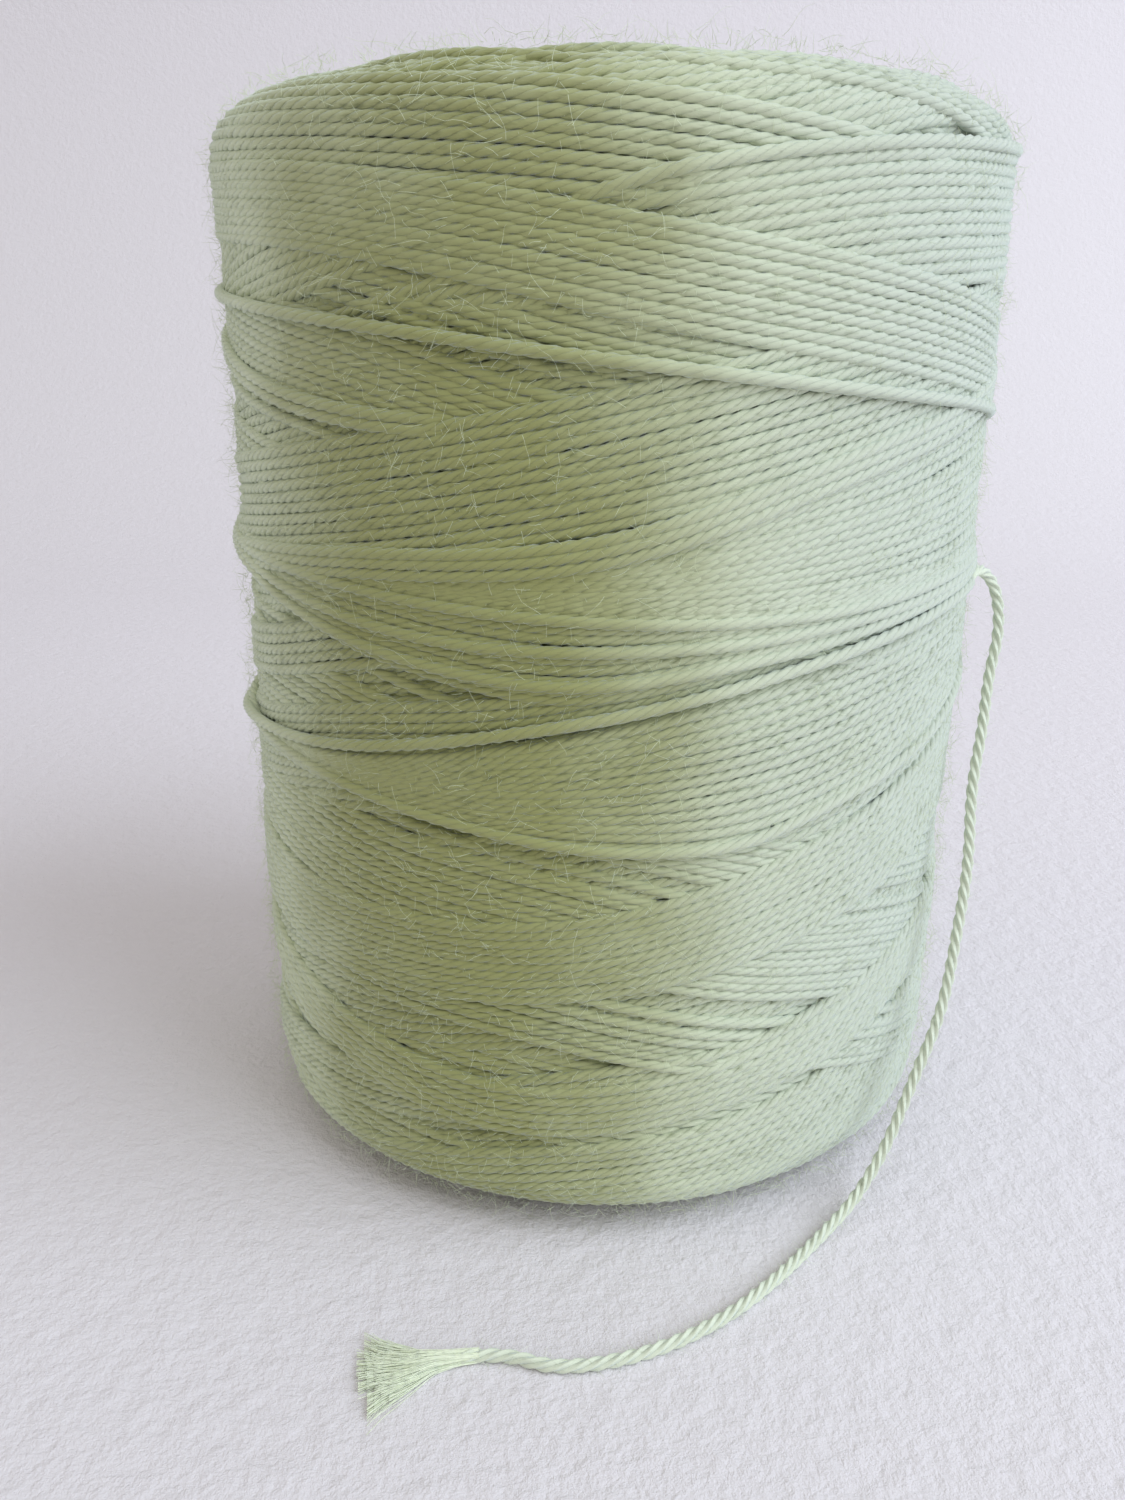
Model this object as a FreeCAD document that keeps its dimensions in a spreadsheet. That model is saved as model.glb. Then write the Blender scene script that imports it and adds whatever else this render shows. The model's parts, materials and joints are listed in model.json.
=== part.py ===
"""Cross-wound package of four-ply cotton cord on a spiral-wound paper tube, with a free tail that frays.

Millimetres, +Z up along the tube's axis, origin on the axis at the tube's lower end, which stands on the table.
"""
import FreeCAD, Part
import Sketcher
import math
import os
from FreeCAD import Vector

doc = FreeCAD.newDocument("cord_package")

# ---------------------------------------------------------------- driving sizes
sheet = doc.addObject("Spreadsheet::Sheet", "Sizes")
SIZES = [
    ("tube_length", 115.0),        # paper tube, end to end
    ("bore_radius", 17.5),         # inside of the liner, slides on a winder's spindle
    ("liner_wall", 0.5),           # smooth inner strip of the spiral-wound tube
    ("inner_ply_wall", 0.8),       # first body strip
    ("outer_ply_wall", 0.8),       # second body strip
    ("cover_wall", 0.4),           # outer strip that the cord grips
    ("tube_reveal", 1.5),          # tube left bare beyond the winding, each end
    ("winding_radius", 42.0),      # outside of the winding
    ("first_layers_depth", 4.0),   # layers laid slowly to grip the tube
    ("outer_layers_depth", 8.0),   # last crossed layers, the ones that show
    ("shoulder_radius", 5.2),      # rounded outer edge of the winding, where each pass turns back
    ("cord_diameter", 1.3),        # relaxed cord
    ("ply_diameter", 0.52),        # one of its four plies
    ("ply_gap", 0.01),             # between neighbouring plies where they part
    ("bend_share", 0.45),          # part of the shorter run that each bend of a cord takes up
    ("exit_bearing", -22.9),       # where the tail leaves the winding, degrees round from +X
    ("exit_height", 66.6),         # height of that point above the table
]
for row, (alias, value) in enumerate(SIZES, start=1):
    sheet.set("A%d" % row, alias)
    sheet.set("B%d" % row, str(value))
    sheet.setAlias("B%d" % row, alias)
doc.recompute()


def size(alias):
    """A driving size, read from the sheet."""
    return float(getattr(sheet, alias))


# ---------------------------------------------------------------- rings round the axis
def axis_plane(body, role):
    """One of a body's own origin planes or axes."""
    return [item for item in body.Origin.OriginFeatures if item.Role == role][0]


def ring(name, inner, outer, bottom, top):
    """A plain ring: a rectangle on the body's XZ plane, turned once round Z. Sizes are sheet expressions."""
    body = doc.addObject("PartDesign::Body", name)
    body.Label = name
    sketch = body.newObject("Sketcher::SketchObject", name + "_profile")
    sketch.AttachmentSupport = [(axis_plane(body, "XZ_Plane"), "")]
    sketch.MapMode = "FlatFace"
    corners = [Vector(20, 1, 0), Vector(30, 1, 0), Vector(30, 90, 0), Vector(20, 90, 0)]
    for index in range(4):
        sketch.addGeometry(Part.LineSegment(corners[index], corners[(index + 1) % 4]), False)
    for index in range(4):
        sketch.addConstraint(Sketcher.Constraint("Coincident", index, 2, (index + 1) % 4, 1))
    for index, direction in enumerate(["Horizontal", "Vertical", "Horizontal", "Vertical"]):
        sketch.addConstraint(Sketcher.Constraint(direction, index))
    places = [
        ("DistanceX", 3, "inner_radius", inner, 20.0),
        ("DistanceX", 1, "outer_radius", outer, 30.0),
        ("DistanceY", 0, "bottom_height", bottom, 1.0),
        ("DistanceY", 2, "top_height", top, 90.0),
    ]
    for kind, edge, label, formula, start in places:
        number = sketch.addConstraint(Sketcher.Constraint(kind, -1, 1, edge, 1, start))
        sketch.renameConstraint(number, label)
        sketch.setExpression("Constraints." + label, formula)
    turned = body.newObject("PartDesign::Revolution", name + "_turned")
    turned.Profile = sketch
    turned.ReferenceAxis = (axis_plane(body, "Z_Axis"), [""])
    turned.Angle = 360.0
    doc.recompute()
    return body


def round_rims(body, radius_formula):
    """Fillets the two outermost rims of a ring."""
    turned = body.Tip
    widest = max(edge.BoundBox.XMax for edge in turned.Shape.Edges)
    rims = []
    for number, edge in enumerate(turned.Shape.Edges, start=1):
        is_circle = isinstance(edge.Curve, Part.Circle)
        if is_circle and edge.Curve.Radius > widest - 0.001:
            rims.append("Edge%d" % number)
    fillet = body.newObject("PartDesign::Fillet", body.Name + "_shoulders")
    fillet.Base = (turned, rims)
    fillet.setExpression("Radius", radius_formula)
    body.Tip = fillet
    doc.recompute()


# ---------------------------------------------------------------- paper tube, strip by strip
TUBE_STRIPS = [
    ("tube_liner", "liner_wall"),
    ("tube_inner_ply", "inner_ply_wall"),
    ("tube_outer_ply", "outer_ply_wall"),
    ("tube_cover_ply", "cover_wall"),
]
inside = "Sizes.bore_radius"
for strip_name, wall in TUBE_STRIPS:
    outside = inside + " + Sizes." + wall
    ring(strip_name, inside, outside, "0 mm", "Sizes.tube_length")
    inside = outside
tube_outside = inside

# ---------------------------------------------------------------- winding, from the tube outwards
winding_bottom = "Sizes.tube_reveal"
winding_top = "Sizes.tube_length - Sizes.tube_reveal"
first_outside = tube_outside + " + Sizes.first_layers_depth"
body_outside = "Sizes.winding_radius - Sizes.outer_layers_depth"
ring("winding_first_layers", tube_outside, first_outside, winding_bottom, winding_top)
ring("winding_middle_layers", first_outside, body_outside, winding_bottom, winding_top)
outer_layers = ring("winding_outer_layers", body_outside, "Sizes.winding_radius", winding_bottom, winding_top)
round_rims(outer_layers, "Sizes.shoulder_radius")


# ---------------------------------------------------------------- free cord
def cord_path(points, share):
    """Straight runs joined by tangent arcs. Returns the wire and the arcs' radii."""
    edges = []
    radii = []
    start = points[0]
    for before, corner, after in zip(points, points[1:], points[2:]):
        back = (before - corner).normalize()
        ahead = (after - corner).normalize()
        half_turn = (math.pi - back.getAngle(ahead)) / 2
        cut = share * min((before - corner).Length, (after - corner).Length)
        radius = cut / math.tan(half_turn)
        inward = (back + ahead).normalize()
        arc_middle = corner + inward * (radius / math.cos(half_turn) - radius)
        arc_start = corner + back * cut
        arc_end = corner + ahead * cut
        edges.append(Part.LineSegment(start, arc_start).toShape())
        edges.append(Part.Arc(arc_start, arc_middle, arc_end).toShape())
        radii.append(radius)
        start = arc_end
    edges.append(Part.LineSegment(start, points[-1]).toShape())
    return Part.Wire(edges), radii


def cord_tube(name, points, diameter_alias):
    """A round tube of one piece along a route, swept from a circle that is bound to the sheet."""
    wire, radii = cord_path(points, size("bend_share"))
    route = doc.addObject("Part::Feature", name + "_route")
    route.Shape = wire
    section = doc.addObject("Part::Circle", name + "_section")
    section.setExpression("Radius", "Sizes." + diameter_alias + " / 2")
    section.Placement = FreeCAD.Placement(points[0], FreeCAD.Rotation(Vector(0, 0, 1), points[1] - points[0]))
    tube = doc.addObject("Part::Sweep", name)
    tube.Label = name
    tube.Sections = [section]
    tube.Spine = (route, ["Edge%d" % number for number in range(1, len(wire.Edges) + 1)])
    tube.Solid = True
    tube.Frenet = False
    doc.recompute()
    expected = math.pi * (size(diameter_alias) / 2) ** 2 * wire.Length
    assert abs(tube.Shape.Volume / expected - 1) < 0.01, name + " has a wrong volume"
    radius_list = ", ".join("%.1f" % radius for radius in radii)
    print("%s: length %.1f, bend radii %s" % (name, wire.Length, radius_list))
    return tube


# The tail leaves the last wrap where it touches the winding, turns over, hangs down the side
# clear of the winding, comes to rest on the table and runs forward and to the left.
exit_reach = size("winding_radius") + size("cord_diameter") / 2
exit_turn = math.radians(size("exit_bearing"))
resting = size("cord_diameter") / 2
TAIL_ROUTE = [
    Vector(exit_reach * math.cos(exit_turn), exit_reach * math.sin(exit_turn), size("exit_height")),
    Vector(41.2, -12.2, 67.7),
    Vector(44.6, -9.7, 65.0),
    Vector(45.3, -10.8, 59.8),
    Vector(44.1, -12.4, 55.0),
    Vector(43.4, -14.8, 49.4),
    Vector(42.0, -17.6, 43.0),
    Vector(41.9, -20.4, 35.2),
    Vector(40.6, -23.2, 27.4),
    Vector(39.0, -26.4, 19.6),
    Vector(35.7, -29.6, 12.8),
    Vector(32.6, -33.0, 6.4),
    Vector(28.8, -36.4, 1.8),
    Vector(24.5, -40.8, resting),
    Vector(19.2, -47.0, resting),
    Vector(13.0, -53.0, resting),
    Vector(5.2, -57.7, resting),
    Vector(-3.2, -59.7, resting),
    Vector(-8.2, -57.8, resting),
    Vector(-12.4, -58.6, resting),
]
cord_tube("free_tail", TAIL_ROUTE, "cord_diameter")

# The four plies part at the tail's end and fan out on the table. Each offset is counted from the
# tail's end: along the tail, across it to the left of its travel, and height above the table.
tail_end = TAIL_ROUTE[-1]
along = (TAIL_ROUTE[-1] - TAIL_ROUTE[-2]).normalize()
across = Vector(0, 0, 1).cross(along)
ply_offset = (size("ply_diameter") + size("ply_gap")) / 2
lying = size("ply_diameter") / 2 + size("ply_gap")
FRAYED_PLIES = [
    ("frayed_ply_1", -1, -1, [(4.8, -1.1, lying), (7.2, -1.5, lying), (9.4, -3.2, lying)]),
    ("frayed_ply_2", -1, 1, [(5.0, -0.1, 0.60), (7.6, -0.6, lying), (10.2, -0.9, lying)]),
    ("frayed_ply_3", 1, 1, [(4.8, 0.9, 0.62), (7.4, 0.9, lying), (10.0, 1.7, lying)]),
    ("frayed_ply_4", 1, -1, [(4.6, 2.0, lying), (6.9, 3.0, lying), (9.0, 4.9, lying)]),
]
STRAIGHT_START = 2.4
for ply_name, side, level, spread in FRAYED_PLIES:
    root = tail_end + across * (side * ply_offset) + Vector(0, 0, level * ply_offset)
    ply_points = [root, root + along * STRAIGHT_START]
    for forward, left, height in spread:
        place = tail_end + along * forward + across * left
        ply_points.append(Vector(place.x, place.y, height))
    cord_tube(ply_name, ply_points, "ply_diameter")

# ---------------------------------------------------------------- checks and export
doc.recompute()
for item in doc.Objects:
    assert not {"Invalid", "Error"} & set(item.State), item.Label + " failed to build"
node_names = [strip[0] for strip in TUBE_STRIPS]
node_names += ["winding_first_layers", "winding_middle_layers", "winding_outer_layers", "free_tail"]
node_names += [ply[0] for ply in FRAYED_PLIES]
nodes = [doc.getObject(node_name) for node_name in node_names]
for node in nodes:
    assert not node.Shape.isNull(), node.Label + " is empty"
    assert node.Shape.isValid(), node.Label + " is not valid"
    assert len(node.Shape.Solids) == 1, node.Label + " is not one solid"
os.makedirs("parts", exist_ok=True)
for node in nodes:
    node.Shape.exportStep("parts/%s.step" % node.Label)
    print("%-24s volume %10.1f mm3" % (node.Label, node.Shape.Volume))
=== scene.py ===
import json
import math

import bpy
import numpy as np
from mathutils import Matrix, Vector

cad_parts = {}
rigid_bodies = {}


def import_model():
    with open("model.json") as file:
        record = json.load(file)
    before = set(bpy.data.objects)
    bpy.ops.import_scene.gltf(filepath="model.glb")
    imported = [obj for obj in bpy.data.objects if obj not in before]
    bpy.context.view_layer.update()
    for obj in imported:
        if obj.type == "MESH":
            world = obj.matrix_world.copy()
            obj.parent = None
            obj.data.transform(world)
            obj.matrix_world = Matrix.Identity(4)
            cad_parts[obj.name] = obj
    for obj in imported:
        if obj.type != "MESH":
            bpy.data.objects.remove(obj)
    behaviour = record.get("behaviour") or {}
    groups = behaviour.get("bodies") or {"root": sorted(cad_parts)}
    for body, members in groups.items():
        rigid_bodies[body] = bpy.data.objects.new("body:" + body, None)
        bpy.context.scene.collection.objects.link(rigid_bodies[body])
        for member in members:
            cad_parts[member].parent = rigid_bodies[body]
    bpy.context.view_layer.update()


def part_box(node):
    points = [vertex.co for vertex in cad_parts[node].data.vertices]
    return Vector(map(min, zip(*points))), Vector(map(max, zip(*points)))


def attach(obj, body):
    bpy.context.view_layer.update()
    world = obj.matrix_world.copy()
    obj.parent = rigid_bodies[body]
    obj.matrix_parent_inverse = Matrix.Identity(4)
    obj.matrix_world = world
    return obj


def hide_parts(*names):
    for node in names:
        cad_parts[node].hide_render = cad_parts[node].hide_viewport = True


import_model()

scene = bpy.context.scene
MM = 0.001


# ---------------------------------------------------------------- camera
# A hand-held view from in front and a little above the middle of the package, close enough
# for the sides to lean inwards towards the table.
tube_low, tube_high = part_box("tube_liner")
outer_low, outer_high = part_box("winding_outer_layers")
WINDING_RADIUS = outer_high.x / MM
WINDING_BOTTOM = outer_low.z / MM
WINDING_TOP = outer_high.z / MM

camera_data = bpy.data.cameras.new("camera")
camera = bpy.data.objects.new("camera", camera_data)
scene.collection.objects.link(camera)
camera_data.lens = 28.8
camera_data.sensor_width = 36.0
camera_data.clip_start = 0.01
camera_data.clip_end = 20.0
CAMERA_DISTANCE = 3.481 * WINDING_RADIUS
CAMERA_HEIGHT = WINDING_BOTTOM + 2.127 * WINDING_RADIUS
CAMERA_DOWN = math.radians(18.84)
CAMERA_LEFT = math.radians(1.894)
CAMERA_ROLL = math.radians(0.307)
camera_turn = (
    Matrix.Rotation(CAMERA_LEFT, 4, "Z")
    @ Matrix.Rotation(math.pi / 2 - CAMERA_DOWN, 4, "X")
    @ Matrix.Rotation(CAMERA_ROLL, 4, "Z")
)
camera.matrix_world = Matrix.Translation(Vector((0, -CAMERA_DISTANCE, CAMERA_HEIGHT)) * MM) @ camera_turn
scene.camera = camera


# ---------------------------------------------------------------- cotton
# Soft, unwaxed cotton dyed a pale sage green. The material is shared by all the cord:
# a rough, slightly furry surface whose tone drifts from wrap to wrap and along each one. Round
# the package the colour carries painted light: a painted cool window tint on the side towards the window,
# painted olive shade on the side away from it.
def node(tree, kind, x, y, **values):
    """Adds a node and sets its inputs by name."""
    made = tree.nodes.new(kind)
    made.location = (x, y)
    for name, value in values.items():
        made.inputs[name.replace("_", " ")].default_value = value
    return made


def cotton_material(name, pale, deep, plies, furrow_shade, painted_light_tints=()):
    """Cotton whose furrows between plies follow the "round" attribute of the swept cord.

    Each painted light tint is a bearing in degrees, how near to it the tint starts (a cosine), how much it
    wanes towards the two ends, and the tint itself. These tints paint the window's light and shade round
    the package into the colour.
    """
    material = bpy.data.materials.new(name)
    material.use_nodes = True
    tree = material.node_tree
    tree.nodes.clear()
    link = tree.links.new
    out = node(tree, "ShaderNodeOutputMaterial", 1100, 0)
    shader = node(tree, "ShaderNodeBsdfPrincipled", 800, 0, Roughness=1.0)
    shader.inputs["Sheen Weight"].default_value = 0.6
    shader.inputs["Sheen Roughness"].default_value = 0.5
    shader.inputs["Sheen Tint"].default_value = (0.85, 0.97, 1.0, 1.0)
    shader.inputs["Specular IOR Level"].default_value = 0.15
    link(shader.outputs["BSDF"], out.inputs["Surface"])

    def sum_of(first, factor, second):
        """first * factor + second"""
        made = node(tree, "ShaderNodeMath", 0, 0)
        made.operation = "MULTIPLY_ADD"
        for index, value in enumerate((first, factor, second)):
            if isinstance(value, (int, float)):
                made.inputs[index].default_value = value
            else:
                link(value, made.inputs[index])
        return made.outputs["Value"]

    place = node(tree, "ShaderNodeTexCoord", -900, 0)
    tone = node(tree, "ShaderNodeAttribute", -900, -300)
    tone.attribute_name = "tone"

    # slow drift along the wraps, and fine streaks of fibre
    drift = node(tree, "ShaderNodeTexNoise", -650, 150, Scale=110.0, Detail=2.0)
    link(place.outputs["Object"], drift.inputs["Vector"])
    fibre = node(tree, "ShaderNodeTexNoise", -650, -120, Scale=750.0, Detail=4.0, Roughness=0.62)
    streaks = node(tree, "ShaderNodeMapping", -800, -120)
    streaks.inputs["Scale"].default_value = (0.7, 0.7, 2.6)
    link(place.outputs["Object"], streaks.inputs["Vector"])
    link(streaks.outputs["Vector"], fibre.inputs["Vector"])

    # ridges and furrows of the plies, raised in the bump and with painted shade in the furrows
    around = node(tree, "ShaderNodeAttribute", -1100, -500)
    around.attribute_name = "round"
    parts = node(tree, "ShaderNodeSeparateXYZ", -900, -500)
    link(around.outputs["Vector"], parts.inputs["Vector"])
    angle = node(tree, "ShaderNodeMath", -750, -500)
    angle.operation = "ARCTAN2"
    link(parts.outputs["Y"], angle.inputs[0])
    link(parts.outputs["X"], angle.inputs[1])
    half = node(tree, "ShaderNodeMath", -600, -500)
    half.operation = "MULTIPLY"
    half.inputs[1].default_value = plies / 2
    link(angle.outputs["Value"], half.inputs[0])
    wave = node(tree, "ShaderNodeMath", -450, -500)
    wave.operation = "SINE"
    link(half.outputs["Value"], wave.inputs[0])
    ridge = node(tree, "ShaderNodeMath", -300, -500)
    ridge.operation = "ABSOLUTE"
    link(wave.outputs["Value"], ridge.inputs[0])
    swell = node(tree, "ShaderNodeMath", -150, -500)
    swell.operation = "POWER"
    swell.inputs[1].default_value = 0.6
    link(ridge.outputs["Value"], swell.inputs[0])

    # tone from deep to pale
    level = sum_of(drift.outputs["Fac"], 0.5, tone.outputs["Fac"])
    level = sum_of(fibre.outputs["Fac"], 2.0, sum_of(level, 1.0, -0.90))
    # painted shade and painted highlight: the colour is darker in the furrows between plies and paler on
    # their ridges
    level = sum_of(swell.outputs["Value"], furrow_shade, level)
    ramp = node(tree, "ShaderNodeValToRGB", 200, 60)
    ramp.color_ramp.elements[0].position = 0.35
    ramp.color_ramp.elements[0].color = (*deep, 1.0)
    ramp.color_ramp.elements[1].position = 1.0
    ramp.color_ramp.elements[1].color = (*pale, 1.0)
    link(level, ramp.inputs["Fac"])

    # each painted light or shade tint fades with the direction round the axis and with the distance from
    # half height
    flat = node(tree, "ShaderNodeVectorMath", -650, 400)
    flat.operation = "MULTIPLY"
    flat.inputs[1].default_value = (1.0, 1.0, 0.0)
    link(place.outputs["Object"], flat.inputs[0])
    outward = node(tree, "ShaderNodeVectorMath", -500, 400)
    outward.operation = "NORMALIZE"
    link(flat.outputs["Vector"], outward.inputs[0])
    colour = ramp.outputs["Color"]
    height_above = node(tree, "ShaderNodeSeparateXYZ", -650, 550)
    link(place.outputs["Object"], height_above.inputs["Vector"])
    from_middle = sum_of(height_above.outputs["Z"], 2.0 / (tube_high.z - tube_low.z), -1.0)
    squared = node(tree, "ShaderNodeMath", -350, 550)
    squared.operation = "MULTIPLY"
    link(from_middle, squared.inputs[0])
    link(from_middle, squared.inputs[1])
    for bearing, start, waning, tint in painted_light_tints:
        towards = node(tree, "ShaderNodeVectorMath", -350, 400)
        towards.operation = "DOT_PRODUCT"
        turn = math.radians(bearing)
        towards.inputs[1].default_value = (math.cos(turn), math.sin(turn), 0.0)
        link(outward.outputs["Vector"], towards.inputs[0])
        share = node(tree, "ShaderNodeMapRange", -200, 400)
        share.interpolation_type = "SMOOTHSTEP"
        share.inputs["From Min"].default_value = start
        strength = sum_of(squared.outputs["Value"], -waning, towards.outputs["Value"])
        strength = sum_of(drift.outputs["Fac"], 0.16, sum_of(strength, 1.0, -0.08))
        link(strength, share.inputs["Value"])
        # painted light and painted shade: the colour is multiplied by the tint of the window's light or of
        # its shade
        painted_tint_mix = node(tree, "ShaderNodeMix", 400, 200)
        painted_tint_mix.data_type = "RGBA"
        painted_tint_mix.blend_type = "MULTIPLY"
        painted_tint_mix.inputs[7].default_value = (*tint, 1.0)
        link(share.outputs["Result"], painted_tint_mix.inputs[0])
        link(colour, painted_tint_mix.inputs[6])
        colour = painted_tint_mix.outputs[2]
    link(colour, shader.inputs["Base Color"])

    height = sum_of(fibre.outputs["Fac"], 0.9, swell.outputs["Value"])
    bump = node(tree, "ShaderNodeBump", 500, -300, Strength=0.8, Distance=0.00014)
    link(height, bump.inputs["Height"])
    link(bump.outputs["Normal"], shader.inputs["Normal"])
    return material


# painted light: a cool tint on the side facing the window, bearing -15 degrees
PAINTED_WINDOW_LIGHT = (-15.0, 0.15, 0.0, (0.88, 0.88, 1.06))
# painted shade: a dark olive tint on the front-left side away from the window, weaker towards the ends
PAINTED_SHADE = (-109.0, 0.75, 0.07, (0.52, 0.50, 0.28))
PALE_SAGE = (0.62, 0.67, 0.46)
DEEP_SAGE = (0.34, 0.38, 0.22)
PLIES = 4
cord_cotton = cotton_material("cord_cotton", PALE_SAGE, DEEP_SAGE, PLIES, furrow_shade=0.32, painted_light_tints=(PAINTED_WINDOW_LIGHT, PAINTED_SHADE))


# ---------------------------------------------------------------- cord, as a swept piece
# Four plies twisted together with an S lay. Every wrap, the tail and the ends of the winding
# are swept by this one tree along a line that follows the middle of the cord.
def socket(tree, name, kind, value=None):
    """Adds a named input to a geometry tree."""
    made = tree.interface.new_socket(name=name, in_out="INPUT", socket_type=kind)
    if value is not None:
        made.default_value = value
    return made


def math_node(tree, operation, *inputs):
    """A maths node whose inputs are numbers or other nodes' sockets."""
    made = tree.nodes.new("ShaderNodeMath")
    made.operation = operation
    for index, value in enumerate(inputs):
        if isinstance(value, (int, float)):
            made.inputs[index].default_value = value
        else:
            tree.links.new(value, made.inputs[index])
    return made.outputs[0]


def cord_tree():
    """Sweeps a lobed outline along a line, turning it once in each lay length."""
    tree = bpy.data.node_groups.new("twisted_cord", "GeometryNodeTree")
    link = tree.links.new
    tree.interface.new_socket(name="Geometry", in_out="OUTPUT", socket_type="NodeSocketGeometry")
    socket(tree, "Geometry", "NodeSocketGeometry")
    socket(tree, "Radius", "NodeSocketFloat", 0.00065)
    socket(tree, "Lay length", "NodeSocketFloat", 0.0065)
    socket(tree, "Plies", "NodeSocketFloat", 4.0)
    socket(tree, "Groove depth", "NodeSocketFloat", 0.2)
    socket(tree, "Points round", "NodeSocketInt", 8)
    socket(tree, "Cotton", "NodeSocketMaterial")
    given = tree.nodes.new("NodeGroupInput").outputs
    to_curve = tree.nodes.new("GeometryNodeMeshToCurve")
    link(given["Geometry"], to_curve.inputs["Mesh"])
    along = tree.nodes.new("GeometryNodeSplineParameter").outputs["Length"]
    turns = math_node(tree, "DIVIDE", along, given["Lay length"])
    tilt = tree.nodes.new("GeometryNodeSetCurveTilt")
    link(to_curve.outputs["Curve"], tilt.inputs["Curve"])
    link(math_node(tree, "MULTIPLY", turns, -2 * math.pi), tilt.inputs["Tilt"])

    circle = tree.nodes.new("GeometryNodeCurvePrimitiveCircle")
    link(given["Points round"], circle.inputs["Resolution"])
    link(given["Radius"], circle.inputs["Radius"])
    point_number = tree.nodes.new("GeometryNodeInputIndex").outputs[0]
    share = math_node(tree, "DIVIDE", point_number, given["Points round"])
    swing = math_node(tree, "MULTIPLY", math_node(tree, "MULTIPLY", share, given["Plies"]), math.pi)
    groove = math_node(tree, "ABSOLUTE", math_node(tree, "COSINE", swing))
    scale = math_node(tree, "SUBTRACT", 1.0, math_node(tree, "MULTIPLY", groove, given["Groove depth"]))
    scaled = tree.nodes.new("ShaderNodeVectorMath")
    scaled.operation = "SCALE"
    link(tree.nodes.new("GeometryNodeInputPosition").outputs[0], scaled.inputs[0])
    link(scale, scaled.inputs["Scale"])
    section = tree.nodes.new("GeometryNodeSetPosition")
    link(scaled.outputs[0], section.inputs["Position"])

    aside = tree.nodes.new("ShaderNodeCombineXYZ")
    angle = math_node(tree, "MULTIPLY", share, 2 * math.pi)
    link(math_node(tree, "COSINE", angle), aside.inputs["X"])
    link(math_node(tree, "SINE", angle), aside.inputs["Y"])
    marked = tree.nodes.new("GeometryNodeStoreNamedAttribute")
    marked.data_type = "FLOAT_VECTOR"
    marked.domain = "POINT"
    marked.inputs["Name"].default_value = "round"
    link(circle.outputs["Curve"], marked.inputs["Geometry"])
    link(aside.outputs["Vector"], marked.inputs["Value"])
    link(marked.outputs["Geometry"], section.inputs["Geometry"])

    sweep = tree.nodes.new("GeometryNodeCurveToMesh")
    sweep.inputs["Fill Caps"].default_value = True
    link(tilt.outputs["Curve"], sweep.inputs["Curve"])
    link(section.outputs["Geometry"], sweep.inputs["Profile Curve"])
    realize = tree.nodes.new("GeometryNodeRealizeInstances")
    link(sweep.outputs["Mesh"], realize.inputs[0])
    smooth = tree.nodes.new("GeometryNodeSetShadeSmooth")
    link(realize.outputs[0], smooth.inputs[0])
    paint = tree.nodes.new("GeometryNodeSetMaterial")
    link(smooth.outputs[0], paint.inputs["Geometry"])
    link(given["Cotton"], paint.inputs["Material"])
    link(paint.outputs[0], tree.nodes.new("NodeGroupOutput").inputs[0])
    return tree


TWISTED_CORD = cord_tree()
LAY_LENGTH = 6.6


def plain_result(name, start_mesh, tree, settings):
    """Runs a geometry tree on a mesh, which is used up, and keeps the result as a plain mesh object."""
    guide = bpy.data.objects.new(name + "_guide", start_mesh)
    scene.collection.objects.link(guide)
    modifier = guide.modifiers.new("tree", "NODES")
    modifier.node_group = tree
    for item in tree.interface.items_tree:
        if item.item_type == "SOCKET" and item.in_out == "INPUT" and item.name in settings:
            modifier[item.identifier] = settings[item.name]
    evaluated = guide.evaluated_get(bpy.context.evaluated_depsgraph_get())
    mesh = bpy.data.meshes.new_from_object(evaluated)
    mesh.name = name
    bpy.data.objects.remove(guide)
    bpy.data.meshes.remove(start_mesh)
    piece = bpy.data.objects.new(name, mesh)
    scene.collection.objects.link(piece)
    return piece


def sweep_cord(name, runs, tones, radius, material, points_round=8, groove=0.22):
    """Sweeps the cord along runs, each an array of points in millimetres with one tone."""
    points = np.concatenate(runs) * MM
    tone = np.concatenate([np.full(len(run), value) for run, value in zip(runs, tones)])
    edges = []
    start = 0
    for run in runs:
        index = np.arange(start, start + len(run) - 1)
        edges.append(np.stack([index, index + 1], axis=1))
        start += len(run)
    edges = np.concatenate(edges)
    lines = bpy.data.meshes.new(name + "_lines")
    lines.vertices.add(len(points))
    lines.vertices.foreach_set("co", points.astype(np.float32).ravel())
    lines.edges.add(len(edges))
    lines.edges.foreach_set("vertices", edges.astype(np.int32).ravel())
    kept_tone = lines.attributes.new("tone", "FLOAT", "POINT")
    kept_tone.data.foreach_set("value", tone.astype(np.float32))
    lines.update()
    settings = {
        "Radius": radius * MM,
        "Lay length": LAY_LENGTH * MM,
        "Plies": float(PLIES),
        "Groove depth": groove,
        "Points round": points_round,
        "Cotton": material,
    }
    return plain_result(name, lines, TWISTED_CORD, settings)


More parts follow.
